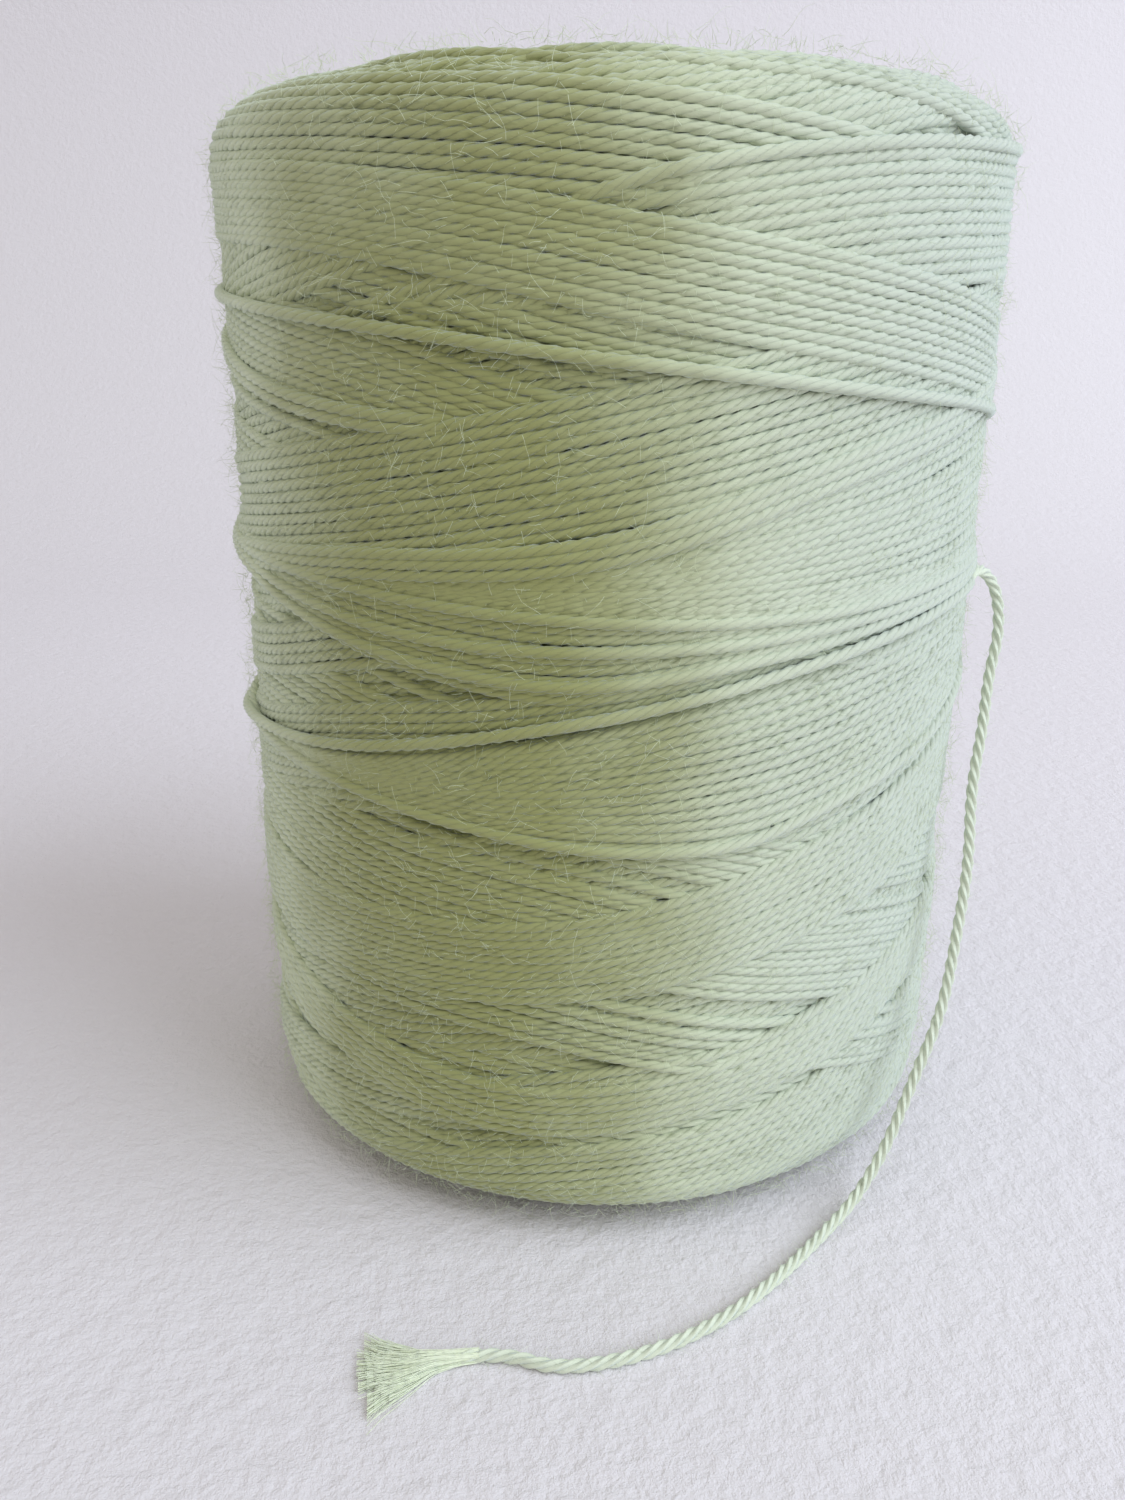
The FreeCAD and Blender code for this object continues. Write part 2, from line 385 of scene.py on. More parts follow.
# ---------------------------------------------------------------- free tail
# The cord's own end, still twisted. It leaves the last wrap on the right, turns over, hangs clear
# of the side and runs forward over the table. It is soft and carries only its own weight.
TAIL_ROUTE = [
    (0.03929, -0.01660, 0.0666),
    (0.0412, -0.0122, 0.0677),
    (0.0446, -0.0097, 0.0650),
    (0.0453, -0.0108, 0.0598),
    (0.0441, -0.0124, 0.0550),
    (0.0434, -0.0148, 0.0494),
    (0.0420, -0.0176, 0.0430),
    (0.0419, -0.0204, 0.0352),
    (0.0406, -0.0232, 0.0274),
    (0.0390, -0.0264, 0.0196),
    (0.0357, -0.0296, 0.0128),
    (0.0326, -0.0330, 0.0064),
    (0.0288, -0.0364, 0.0018),
    (0.0245, -0.0408, 0.00065),
    (0.0192, -0.0470, 0.00065),
    (0.0130, -0.0530, 0.00065),
    (0.0052, -0.0577, 0.00065),
    (-0.0032, -0.0597, 0.00065),
    (-0.0082, -0.0578, 0.00065),
    (-0.0124, -0.0586, 0.00065),
]
TAIL_DIAMETER = 1.3
tail_curve = bpy.data.curves.new("tail_route", "CURVE")
tail_curve.dimensions = "3D"
tail_curve.resolution_u = 24
spline = tail_curve.splines.new("NURBS")
spline.points.add(len(TAIL_ROUTE) - 1)
for point, place in zip(spline.points, TAIL_ROUTE):
    point.co = (*place, 1.0)
spline.order_u = 3
spline.use_endpoint_u = True
tail_guide = bpy.data.objects.new("tail_route", tail_curve)
scene.collection.objects.link(tail_guide)
bpy.context.view_layer.update()
tail_evaluated = tail_guide.evaluated_get(bpy.context.evaluated_depsgraph_get())
tail_line = bpy.data.meshes.new_from_object(tail_evaluated)
tail_points = np.array([vertex.co[:] for vertex in tail_line.vertices])
bpy.data.objects.remove(tail_guide)
bpy.data.meshes.remove(tail_line)


def evenly(points, step):
    """Points at an even step along a line."""
    lengths = np.linalg.norm(np.diff(points, axis=0), axis=1)
    travelled = np.concatenate([[0.0], np.cumsum(lengths)])
    count = max(3, int(round(travelled[-1] / step)) + 1)
    places = np.linspace(0.0, travelled[-1], count)
    return np.stack([np.interp(places, travelled, points[:, axis]) for axis in range(3)], axis=1)


tail_run = evenly(tail_points / MM, 0.22)
# painted light: the tail's cotton is a paler copy of the cord's, so the free cord looks brighter than the
# wraps
PALE_TAIL = (0.68, 0.73, 0.58)
DEEP_TAIL = (0.42, 0.46, 0.34)
tail_cotton = cotton_material("tail_cotton", PALE_TAIL, DEEP_TAIL, PLIES, furrow_shade=0.3)
tail = sweep_cord("tail", [tail_run], [0.6], TAIL_DIAMETER / 2, tail_cotton, points_round=32, groove=0.3)
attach(tail, "root")
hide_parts("free_tail")


# ---------------------------------------------------------------- winding
# One continuous cord laid crosswise: each pass climbs or falls about 50 mm in a turn, and lies
# beside the pass before last. Each wrap rests on what is under it and bridges small hollows.
# The heights of the skin are kept on a grid: columns round the winding, rows up its side.
CORD_RADIUS = 0.65
SHOULDER = 5.2
SHOULDER_SAG = 0.9
CELL = 0.25
COLUMNS = 1056
SIDE = WINDING_TOP - WINDING_BOTTOM - 2 * SHOULDER
ARC = SHOULDER * math.pi / 2
MARGIN = ARC + 6.0
ROWS = int((SIDE + 2 * MARGIN) / CELL) + 1
SIDE_ROWS = slice(int(MARGIN / CELL), int((MARGIN + SIDE) / CELL))
PRESSED = 0.52
RISE = 0.42
skin = np.full((COLUMNS, ROWS), 0.0)
chance = np.random.default_rng(11)


def on_winding(bearing, across, lift):
    """Points from a bearing in columns, a distance up the side and over the shoulders, and a lift."""
    angle = bearing * 2 * math.pi / COLUMNS
    over_top = np.clip((across - SIDE) / SHOULDER, 0, math.pi / 2)
    under = np.clip(-across / SHOULDER, 0, math.pi / 2)
    lean = over_top + under
    inward = np.maximum(across - SIDE - ARC, 0) + np.maximum(-across - ARC, 0)
    sign = np.where(across > SIDE / 2, 1.0, -1.0)
    lift = lift - SHOULDER_SAG * np.sin(lean) ** 2
    radius = WINDING_RADIUS - SHOULDER + (SHOULDER + lift) * np.cos(lean) - inward
    middle = np.clip(across, 0, SIDE) + WINDING_BOTTOM + SHOULDER
    height = middle + sign * (SHOULDER + lift) * np.sin(lean)
    return np.stack([radius * np.cos(angle), radius * np.sin(angle), height], axis=-1)


def smooth(values, width):
    """A running average whose ends are held."""
    size = max(1, int(width / CELL)) | 1
    window = np.hanning(size + 2)[1:-1]
    padded = np.pad(values, size // 2, mode="edge")
    return np.convolve(padded, window / window.sum(), mode="valid")


wraps = []


def shaken(across, amount, run):
    """A line moved a little to and fro, as a guide and a hand leave it."""
    shake = chance.normal(0, amount, len(across) // run + 3)
    return across + np.interp(np.arange(len(across)) / run, np.arange(len(shake)), shake)


def lay_wrap(bearing, across, tone, sink=0.0):
    """Lays a taut stretch of cord on the skin, which then rises over it.

    It bears on the highest of what is under its width, and spans the hollows along it.
    """
    column = np.mod(np.round(bearing).astype(int), COLUMNS)
    row = (across + MARGIN) / CELL
    middle = np.clip(np.round(row).astype(int), 3, ROWS - 4)
    below = np.stack([skin[column, middle + offset] for offset in (-2, -1, 0, 1, 2)])
    support = 0.35 * below.max(axis=0) + 0.65 * below.mean(axis=0)
    support = np.maximum(smooth(support, 2.0), smooth(support, 9.0))
    level = skin[:, SIDE_ROWS].mean()
    lift = level + PRESSED * (smooth(support, 1.5) - level) + RISE - CORD_RADIUS - sink
    for offset in range(-3, 4):
        aside = (middle + offset - row) * CELL
        inside = np.abs(aside) < CORD_RADIUS
        crown = lift + np.sqrt(np.maximum(CORD_RADIUS**2 - aside**2, 0))
        here = column[inside], (middle + offset)[inside]
        skin[here] = np.maximum(skin[here], crown[inside])
    wraps.append((bearing, across, lift, tone))


def wander(bearing, across, phase):
    """How far a family of wraps strays from a true helix."""
    angle = bearing * 2 * math.pi / COLUMNS
    return (
        1.2 * np.sin(2 * angle + phase + across / 30)
        + 0.7 * np.sin(3 * angle - 1.7 * phase + across / 24)
        + 0.3 * np.sin(7 * angle + 2.3 * phase - across / 15)
    )


TURN_SOFTNESS = 1.2


def turned_back(across, low, high):
    """A climb that levels off gently where the guide turns it back."""
    held = high - TURN_SOFTNESS * np.logaddexp(0, (high - across) / TURN_SOFTNESS)
    return low + TURN_SOFTNESS * np.logaddexp(0, (held - low) / TURN_SOFTNESS)


TURN_CLIMB = 50.0
PITCH = 1.06
PASSES = 104
PASS_SHAKE_RUN = 160
LINE_LOW = -ARC - 1.5
LINE_HIGH = SIDE + ARC + 1.5
climb_columns = (LINE_HIGH - LINE_LOW) / TURN_CLIMB * COLUMNS
round_trip = round(2 * climb_columns / COLUMNS) * COLUMNS
position = 0.0
for number in range(PASSES):
    step_on = PITCH / TURN_CLIMB * COLUMNS * (1 + chance.normal(0, 0.06))
    if number % 11 == 10:
        step_on += chance.uniform(0.04, 0.10) * COLUMNS
    fall_columns = round_trip - climb_columns - step_on
    for start, length, begin, end, phase in (
        (position, climb_columns, LINE_LOW, LINE_HIGH, 0.6),
        (position + climb_columns, fall_columns, LINE_HIGH, LINE_LOW, 3.9),
    ):
        bearing = np.arange(math.ceil(start), math.floor(start + length))
        across = begin + (end - begin) * (bearing - start) / length
        across = across + wander(bearing, across, phase)
        across = shaken(across, 0.07, PASS_SHAKE_RUN)
        low = -ARC + chance.uniform(-2.5, 1.0)
        high = SIDE + ARC - chance.uniform(-2.5, 1.0)
        lay_wrap(bearing, turned_back(across, low, high), chance.uniform(0.3, 0.7))
    position += climb_columns + fall_columns


def degrees(values):
    """Bearings in degrees, turned into columns."""
    return np.asarray(values, dtype=float) * COLUMNS / 360


def curve_through(bearings, heights, where):
    """A smooth line through a few given places, level with them at each."""
    x = degrees(bearings)
    y = np.asarray(heights, dtype=float) - WINDING_BOTTOM - SHOULDER
    slope = np.gradient(y, x)
    spot = np.clip(np.searchsorted(x, where) - 1, 0, len(x) - 2)
    width = x[spot + 1] - x[spot]
    part = (where - x[spot]) / width
    return (
        y[spot] * (1 + 2 * part) * (1 - part) ** 2
        + y[spot + 1] * part**2 * (3 - 2 * part)
        + width * slope[spot] * part * (1 - part) ** 2
        + width * slope[spot + 1] * part**2 * (part - 1)
    )


DIVE = 1.1
DIVE_RUN = 14
BAND_SHAKE_RUN = 120


def last_wraps(count, bearings, upper, lower, end_dive=DIVE, loose=0.05, proud=0.0):
    """Lays a band of wraps between an upper and a lower line, given as bearings and heights.

    Their ends dive under their neighbours. A proud band stands off the ones below.
    """
    for number in range(count):
        share = (number + 0.5) / count
        late = chance.uniform(0, 12) if count > 1 else 0.0
        first, final = degrees([bearings[0] + late, bearings[-1] - late])
        where = np.arange(math.ceil(first), math.floor(final))
        where = where[(where >= degrees(bearings[0])) & (where <= degrees(bearings[-1]))]
        top = curve_through(bearings, upper, where)
        bottom = curve_through(bearings, lower, where)
        across = bottom + (top - bottom) * share
        across = shaken(across, loose, BAND_SHAKE_RUN)
        from_start = (where - where[0]) * CELL
        from_end = (where[-1] - where) * CELL
        sink = DIVE * np.clip(1 - from_start / DIVE_RUN, 0, 1) ** 2
        sink = sink + end_dive * np.clip(1 - from_end / DIVE_RUN, 0, 1) ** 2
        lay_wrap(where, across, chance.uniform(0.4, 0.7) + 0.7 * proud, sink=sink - proud)


# The last loose bands, in the order in which they were laid. The one that ends in the tail is last.
# Bearings are degrees round from the right, and heights are millimetres above the table.
last_wraps(
    6,
    [-215, -150, -100, -60, -20, 40],
    [33, 24, 18.5, 23, 30, 41],
    [27.2, 18.2, 12.7, 17.2, 24.2, 35.2],
)
last_wraps(
    10,
    [-210, -135, -92, -60, -20, 45],
    [43, 36, 38, 44, 52, 63],
    [32.5, 27, 29, 34, 41.5, 52.5],
)
last_wraps(
    13,
    [-215, -160, -129, -100, -72, -30, 60],
    [53, 50.6, 51.4, 55.4, 60, 65.2, 74],
    [50, 49.2, 48, 45.8, 45, 52.5, 62],
)
last_wraps(
    10,
    [-205, -152, -120, -96, -60, -30, 50],
    [73, 71.2, 70, 68.8, 68.8, 69.8, 71],
    [70, 68, 62, 59.4, 64.6, 67.8, 69],
    loose=0.15,
)
last_wraps(
    13,
    [-150, -120, -90, -60, -30, 40],
    [73, 72.5, 74, 79, 84, 94],
    [70, 69, 67.5, 67.5, 68.5, 78],
)
last_wraps(
    11,
    [-200, -130, -90, -60, -25, 60],
    [76, 82, 87, 92, 97, 106],
    [64, 70, 75, 80, 86, 95],
)
last_wraps(
    3,
    [-190, -126, -90, -60, -30, 60],
    [69, 72.5, 75, 81.5, 86.5, 96],
    [66, 69.5, 72, 78.5, 83.5, 93],
    proud=0.3,
)
last_wraps(
    8,
    [-200, -154, -120, -83, -45, 20],
    [117, 114, 112, 109.5, 106, 101],
    [109, 106, 103.5, 101, 97.5, 93],
)
last_wraps(
    11,
    [-100, -83, -57, -29, 30, 70],
    [101, 103.2, 106, 107.8, 111, 112],
    [90, 91.8, 94.8, 96.5, 100, 102],
)
single = [100.6, 103.6, 106.4, 108.2, 111]
last_wraps(1, [-98, -83, -57, -29, 30], single, single, proud=0.35)
last_wraps(
    9,
    [-190, -154, -126, -106, -85, -45, -20, 40],
    [109.5, 107, 105, 103, 100.4, 96.4, 94, 89],
    [102.5, 100, 98, 95.4, 92, 87.6, 85, 79],
)
last_wraps(
    2,
    [-200, -163, -131, -112, -98],
    [98, 91, 86, 84.6, 84.4],
    [96, 89, 84, 82.8, 82.6],
    proud=0.25,
)
single = [99, 95, 92, 89, 87, 84, 79]
last_wraps(1, [-215, -159, -120, -86, -60, -17, 35], single, single, proud=0.6)
for bearings, heights in (
    ([-175, -158, -138, -96, -63, -36, -8], [72.5, 70.5, 69.6, 67.4, 67.2, 68.6, 70]),
    ([-180, -160, -138, -110, -80, -50, -24, 0], [72, 70.2, 67.4, 64.8, 64.8, 66.6, 68.2, 69.5]),
    ([-180, -160, -138, -115, -95, -70, -45, -26, 0], [71, 69.6, 65.8, 62.6, 61.2, 63.4, 66, 67.4, 69]),
    ([-185, -160, -139, -109, -86, -72, -58, -29, 0], [53, 50.4, 49.6, 47, 45.2, 45.4, 48, 53, 59]),
):
    last_wraps(1, bearings, heights, heights, proud=0.3)
EXIT_BEARING = -22.9
single = [48, 50.5, 52.5, 58, 63.2, 66.7]
last_wraps(1, [-240, -163, -129, -92, -58, EXIT_BEARING], single, single, end_dive=0.0, proud=0.75)


RING_STEP = 0.8
TUCK = 9


def seen_runs(settled):
    """The stretches that show. What the wraps above cover all across is left out."""
    runs = []
    tones = []
    for bearing, across, lift, tone in wraps:
        column = np.mod(np.round(bearing).astype(int), COLUMNS)
        row = (across + MARGIN) / CELL
        shows = np.zeros(len(bearing), dtype=bool)
        for aside in (-0.45, -0.25, 0.0, 0.25, 0.45):
            place = np.clip(np.round(row + aside / CELL).astype(int), 0, ROWS - 1)
            crown = lift + math.sqrt(CORD_RADIUS**2 - aside**2)
            shows |= crown > skin[column, place] - 0.10
        spread = np.convolve(shows, np.ones(2 * TUCK + 1), mode="same") > 0.5
        edges = np.flatnonzero(np.diff(np.concatenate([[0], spread.astype(int), [0]])))
        for begin, end in zip(edges[::2], edges[1::2]):
            if end - begin > 2 * TUCK + 4:
                line = on_winding(bearing[begin:end], across[begin:end], lift[begin:end] - settled)
                runs.append(evenly(line, RING_STEP))
                tones.append(tone)
    return runs, tones


settled = skin[:, SIDE_ROWS].mean() - 0.2
runs, tones = seen_runs(settled)
RINGS_IN_A_PIECE = 12000
piece_runs, piece_tones, rings, piece_number = [], [], 0, 1
for run, tone in zip(runs + [None], tones + [None]):
    if run is None or rings + len(run) > RINGS_IN_A_PIECE:
        wrap_name = "wraps_%d" % piece_number
        wrap_set = sweep_cord(wrap_name, piece_runs, piece_tones, CORD_RADIUS, cord_cotton)
        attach(wrap_set, "root")
        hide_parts("winding_outer_layers")
        piece_runs, piece_tones, rings = [], [], 0
        piece_number += 1
    if run is not None:
        piece_runs.append(run)
        piece_tones.append(tone)
        rings += len(run)


# ---------------------------------------------------------------- ends of the winding
# At each end every pass turns back, so the end shows short arcs of cord, ring inside ring, each
# coming up from below, lying level for a moment and going down again under the next.
TUBE_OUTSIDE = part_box("tube_cover_ply")[1].x / MM


def end_turns(name, level, side):
    """The arcs of cord that show on one end. side is +1 at the top and -1 at the bottom."""
    runs = []
    tones = []
    radius = TUBE_OUTSIDE + 0.9
    while radius < WINDING_RADIUS - SHOULDER + 1.0:
        half = chance.uniform(17, 21) / radius
        count = round(2 * math.pi / (half * 0.95))
        first = chance.uniform(0, 6)
        for number in range(count):
            middle = first + 2 * math.pi * (number + chance.uniform(-0.2, 0.2)) / count
            reach = half * chance.uniform(0.9, 1.25)
            part = np.linspace(-1, 1, int(2 * reach * radius / 0.95))
            angle = middle + part * reach
            away = radius + chance.uniform(-0.25, 0.25) + chance.uniform(-0.35, 0.35) * part
            height = level - side * (CORD_RADIUS + chance.uniform(0.0, 0.35) + 1.9 * part**2)
            runs.append(np.stack([away * np.cos(angle), away * np.sin(angle), height], axis=1))
            tones.append(chance.uniform(0.3, 0.7))
        radius += 1.12
    return sweep_cord(name, runs, tones, CORD_RADIUS, cord_cotton)


for end_name, level, side in (("top_turns", WINDING_TOP, 1), ("bottom_turns", WINDING_BOTTOM, -1)):
    turns = end_turns(end_name, level, side)
    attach(turns, "root")
    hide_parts("winding_first_layers", "winding_middle_layers")


# ---------------------------------------------------------------- heart of the winding
# The layers under the ones that show. One closed ring of the same cotton stands for them, from
# the tube out to just under the wraps, so that nothing is empty behind the gaps.
def lathe(name, profile, steps, material):
    """A closed ring turned from a closed outline of (radius, height) pairs in millimetres."""
    vertices = []
    for step in range(steps):
        turn = 2 * math.pi * step / steps
        for radius, height in profile:
            vertices.append((radius * math.cos(turn) * MM, radius * math.sin(turn) * MM, height * MM))
    count = len(profile)
    faces = []
    for step in range(steps):
        for index in range(count):
            here = step * count + index
            up = step * count + (index + 1) % count
            beside = ((step + 1) % steps) * count
            faces.append((here, beside + index, beside + (index + 1) % count, up))
    mesh = bpy.data.meshes.new(name)
    mesh.from_pydata(vertices, [], faces)
    mesh.polygons.foreach_set("use_smooth", [True] * len(faces))
    mesh.materials.append(material)
    piece = bpy.data.objects.new(name, mesh)
    scene.collection.objects.link(piece)
    return piece


HEART_DEPTH = 1.1
heart_outside = WINDING_RADIUS - HEART_DEPTH
heart_low = WINDING_BOTTOM + HEART_DEPTH
heart_high = WINDING_TOP - HEART_DEPTH
heart_profile = [
    (TUBE_OUTSIDE, heart_low),
    (heart_outside - 4.0, heart_low),
    (heart_outside - 1.2, heart_low + 1.2),
    (heart_outside, heart_low + 4.0),
    (heart_outside, heart_high - 4.0),
    (heart_outside - 1.2, heart_high - 1.2),
    (heart_outside - 4.0, heart_high),
    (TUBE_OUTSIDE, heart_high),
]
heart = lathe("winding_heart", heart_profile, 96, cord_cotton)
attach(heart, "root")
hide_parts("winding_middle_layers")


# ---------------------------------------------------------------- frayed end
# Where the cord was cut its four plies have opened and fallen apart into a flat fan of separate
# cotton fibres, a little paler than the cord because light gets through them.
PALE_FIBRE = (0.84, 0.89, 0.70)
DEEP_FIBRE = (0.66, 0.72, 0.48)
fibre_cotton = cotton_material("fibre_cotton", PALE_FIBRE, DEEP_FIBRE, plies=0, furrow_shade=0.0)
tail_end = tail_run[-1]
tail_ahead = (tail_run[-1] - tail_run[-4]) / np.linalg.norm(tail_run[-1] - tail_run[-4])
tail_left = np.cross([0.0, 0.0, 1.0], tail_ahead)
# where the ply sits in the cord, left and up, and its route beyond that: forward, left, up
TUFT_LINES = [
    (-0.3, -0.3, [(2.4, -0.4, -0.3), (4.8, -1.1, -0.3), (7.2, -1.7, -0.3), (9.4, -3.0, -0.3)]),
    (-0.3, 0.3, [(2.4, -0.3, 0.3), (5.0, -0.2, 0.1), (7.6, -0.5, -0.3), (10.2, -0.9, -0.3)]),
    (0.3, 0.3, [(2.4, 0.4, 0.3), (4.8, 0.9, 0.1), (7.4, 1.0, -0.3), (10.0, 1.6, -0.3)]),
    (0.3, -0.3, [(2.4, 0.6, -0.3), (4.6, 1.8, -0.3), (6.9, 2.9, -0.3), (9.0, 4.6, -0.3)]),
]
INSIDE_THE_CORD = 2.0
FIBRE_RADIUS = 0.032
FIBRES_IN_A_PLY = 190
for number, (left, up, beyond) in enumerate(TUFT_LINES, start=1):
    tuft_line = np.array([(-INSIDE_THE_CORD, left, up), (0.0, left, up), *beyond])
    middle = tail_end + tuft_line @ np.stack([tail_ahead, tail_left, [0.0, 0.0, 1.0]])
    middle = evenly(middle, 0.8)
    share = np.linspace(0, 1, len(middle))
    fibres = []
    for _ in range(FIBRES_IN_A_PLY):
        angle = chance.uniform(0, 2 * math.pi)
        spot = math.sqrt(chance.uniform(0, 1))
        spread = 0.24 + 1.15 * share**1.4
        twist = angle + 2.2 * share
        sideways = spot * np.cos(twist) * spread + chance.normal(0, 0.8) * share**2
        upward = spot * np.sin(twist) * np.minimum(spread, 0.24 + 0.3 * share)
        wave = 0.25 * share * np.sin(chance.uniform(4, 9) * share + chance.uniform(0, 6))
        line = middle + (sideways + wave)[:, None] * tail_left + upward[:, None] * np.array([0, 0, 1.0])
        line[:, 2] = np.maximum(line[:, 2], FIBRE_RADIUS + 0.01)
        keep = max(5, int(len(line) * chance.uniform(0.72, 1.0)))
        fibres.append(line[:keep])
    tuft = sweep_cord(
        "frayed_tuft_%d" % number,
        fibres,
        list(chance.uniform(0.3, 0.9, len(fibres))),
        FIBRE_RADIUS,
        fibre_cotton,
        points_round=4,
        groove=0.0,
    )
    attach(tuft, "root")
    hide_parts("frayed_ply_%d" % number)


# ---------------------------------------------------------------- stray fibres
# Cotton sheds. Short fibres stand off the whole winding as a nap, and longer ones lie curled over
# the wraps. They grow from plain rings about level with the wraps, which are thrown away afterwards.
LOWEST = 0.00006


def stray_tree():
    """Plants thin curled fibres on a surface. None reaches below the table."""
    tree = bpy.data.node_groups.new("stray_fibres", "GeometryNodeTree")
    link = tree.links.new
    tree.interface.new_socket(name="Geometry", in_out="OUTPUT", socket_type="NodeSocketGeometry")
    socket(tree, "Geometry", "NodeSocketGeometry")
    socket(tree, "Density", "NodeSocketFloat", 100000.0)
    socket(tree, "Length", "NodeSocketFloat", 0.003)
    socket(tree, "Lean least", "NodeSocketFloat", 1.2)
    socket(tree, "Curl", "NodeSocketFloat", 0.001)
    socket(tree, "Thickness", "NodeSocketFloat", 0.00002)
    socket(tree, "Points", "NodeSocketInt", 6)
    socket(tree, "Seed", "NodeSocketInt", 1)
    socket(tree, "Cotton", "NodeSocketMaterial")
    given = tree.nodes.new("NodeGroupInput").outputs
    spread = tree.nodes.new("GeometryNodeDistributePointsOnFaces")
    link(given["Geometry"], spread.inputs["Mesh"])
    link(given["Density"], spread.inputs["Density"])
    link(given["Seed"], spread.inputs["Seed"])
    fibre = tree.nodes.new("GeometryNodeCurvePrimitiveLine")
    fibre.mode = "DIRECTION"
    fibre.inputs["Direction"].default_value = (0.0, 0.0, 1.0)
    link(given["Length"], fibre.inputs["Length"])
    fine = tree.nodes.new("GeometryNodeResampleCurve")
    link(fibre.outputs["Curve"], fine.inputs["Curve"])
    link(given["Points"], fine.inputs["Count"])

    def chosen(low, high, seed):
        """A random number for each fibre."""
        made = tree.nodes.new("FunctionNodeRandomValue")
        for name, value in (("Min", low), ("Max", high), ("Seed", seed)):
            if isinstance(value, (int, float)):
                made.inputs[name].default_value = value
            else:
                link(value, made.inputs[name])
        return made.outputs["Value"]

    def turned(rotation, axis, angle):
        """A rotation turned further about one of its own axes."""
        euler = tree.nodes.new("ShaderNodeCombineXYZ")
        link(angle, euler.inputs[axis])
        by = tree.nodes.new("FunctionNodeEulerToRotation")
        link(euler.outputs["Vector"], by.inputs[0])
        made = tree.nodes.new("FunctionNodeRotateRotation")
        made.rotation_space = "LOCAL"
        link(rotation, made.inputs["Rotation"])
        link(by.outputs[0], made.inputs["Rotate By"])
        return made.outputs[0]

    aimed = turned(spread.outputs["Rotation"], "Z", chosen(0.0, 2 * math.pi, 3))
    aimed = turned(aimed, "X", chosen(given["Lean least"], 1.5, 5))
    placed = tree.nodes.new("GeometryNodeInstanceOnPoints")
    link(spread.outputs["Points"], placed.inputs["Points"])
    link(fine.outputs["Curve"], placed.inputs["Instance"])
    link(aimed, placed.inputs["Rotation"])
    link(chosen(0.35, 1.4, 8), placed.inputs["Scale"])
    realize = tree.nodes.new("GeometryNodeRealizeInstances")
    link(placed.outputs["Instances"], realize.inputs[0])
    noise = tree.nodes.new("ShaderNodeTexNoise")
    noise.inputs["Scale"].default_value = 260.0
    noise.inputs["Detail"].default_value = 1.0
    centred = tree.nodes.new("ShaderNodeVectorMath")
    centred.operation = "SUBTRACT"
    centred.inputs[1].default_value = (0.5, 0.5, 0.5)
    link(noise.outputs["Color"], centred.inputs[0])
    along = tree.nodes.new("GeometryNodeSplineParameter").outputs["Factor"]
    bend = tree.nodes.new("ShaderNodeVectorMath")
    bend.operation = "SCALE"
    link(centred.outputs[0], bend.inputs[0])
    bend_grows = math_node(tree, "MULTIPLY", along, 4.0)
    link(math_node(tree, "MULTIPLY", bend_grows, given["Curl"]), bend.inputs["Scale"])
    bent = tree.nodes.new("GeometryNodeSetPosition")
    link(realize.outputs[0], bent.inputs["Geometry"])
    link(bend.outputs[0], bent.inputs["Offset"])
    parts = tree.nodes.new("ShaderNodeSeparateXYZ")
    link(tree.nodes.new("GeometryNodeInputPosition").outputs[0], parts.inputs["Vector"])
    above = tree.nodes.new("ShaderNodeCombineXYZ")
    link(parts.outputs["X"], above.inputs["X"])
    link(parts.outputs["Y"], above.inputs["Y"])
    link(math_node(tree, "MAXIMUM", parts.outputs["Z"], LOWEST), above.inputs["Z"])
    pressed = tree.nodes.new("GeometryNodeSetPosition")
    link(bent.outputs["Geometry"], pressed.inputs["Geometry"])
    link(above.outputs["Vector"], pressed.inputs["Position"])
    taper = tree.nodes.new("GeometryNodeSetCurveRadius")
    link(pressed.outputs["Geometry"], taper.inputs["Curve"])
    thinned = math_node(tree, "MULTIPLY", along, 0.6)
    link(math_node(tree, "SUBTRACT", 1.0, thinned), taper.inputs["Radius"])
    circle = tree.nodes.new("GeometryNodeCurvePrimitiveCircle")
    circle.inputs["Resolution"].default_value = 3
    link(given["Thickness"], circle.inputs["Radius"])
    sweep = tree.nodes.new("GeometryNodeCurveToMesh")
    sweep.inputs["Fill Caps"].default_value = True
    link(taper.outputs["Curve"], sweep.inputs["Curve"])
    link(circle.outputs["Curve"], sweep.inputs["Profile Curve"])
    along_radius = tree.nodes.new("GeometryNodeInputRadius")
    link(along_radius.outputs[0], sweep.inputs["Scale"])
    together = tree.nodes.new("GeometryNodeRealizeInstances")
    link(sweep.outputs["Mesh"], together.inputs[0])
    paint = tree.nodes.new("GeometryNodeSetMaterial")
    link(together.outputs[0], paint.inputs["Geometry"])
    link(given["Cotton"], paint.inputs["Material"])
    link(paint.outputs[0], tree.nodes.new("NodeGroupOutput").inputs[0])
    return tree


STRAY_FIBRES = stray_tree()


def grow(name, ground, settings):
    """Grows fibres on a piece and keeps them as a plain mesh object."""
    piece = plain_result(name, ground.data.copy(), STRAY_FIBRES, settings)
    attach(piece, "root")
    return piece


CLEAR_OF_TUBE = 1.0
SHOULDER_STEPS = 6


